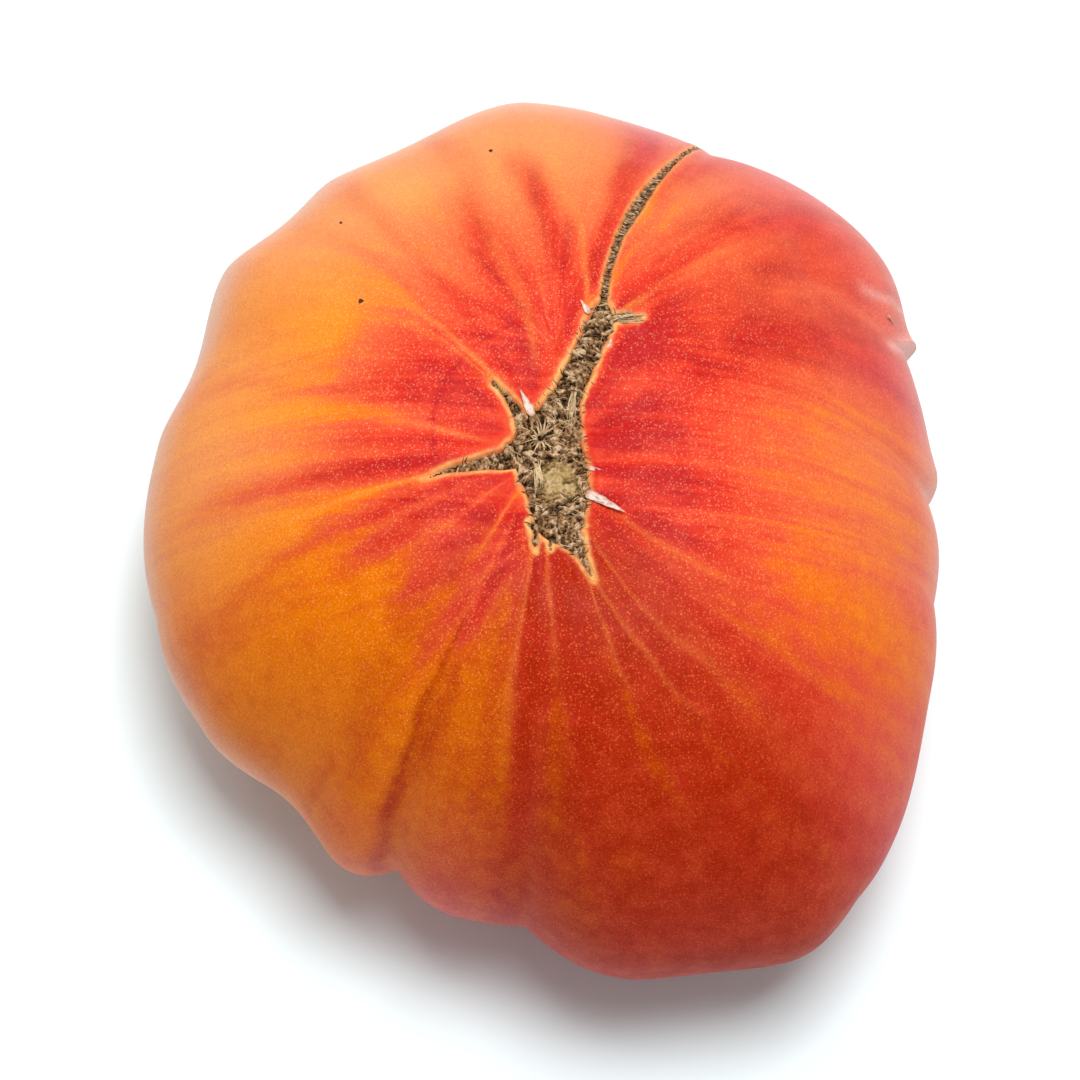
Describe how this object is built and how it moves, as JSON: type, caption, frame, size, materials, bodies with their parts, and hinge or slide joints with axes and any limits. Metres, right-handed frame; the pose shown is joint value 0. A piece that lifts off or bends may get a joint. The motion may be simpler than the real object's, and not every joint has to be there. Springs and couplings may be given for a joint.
{
  "type": "tomato",
  "caption": "Large ribbed beefsteak tomato resting on its stem end, with a branching cork scar and a zipper seam at the blossom end.",
  "frame": {"origin": "middle of the fruit's box, on the surface that it rests on", "axes": "+Z from the resting stem end up to the blossom end, +Y away from the viewer of the picture, +X to the viewer's right"},
  "size_m": [0.1058, 0.1202, 0.0687],
  "materials": {
    "skin": "waxy satin skin, crimson and orange rays over golden orange, with fine pale dots and rough brown cork scars"
  },
  "bodies": {
    "root": {"tomato": "skin"}
  },
  "joints": []
}
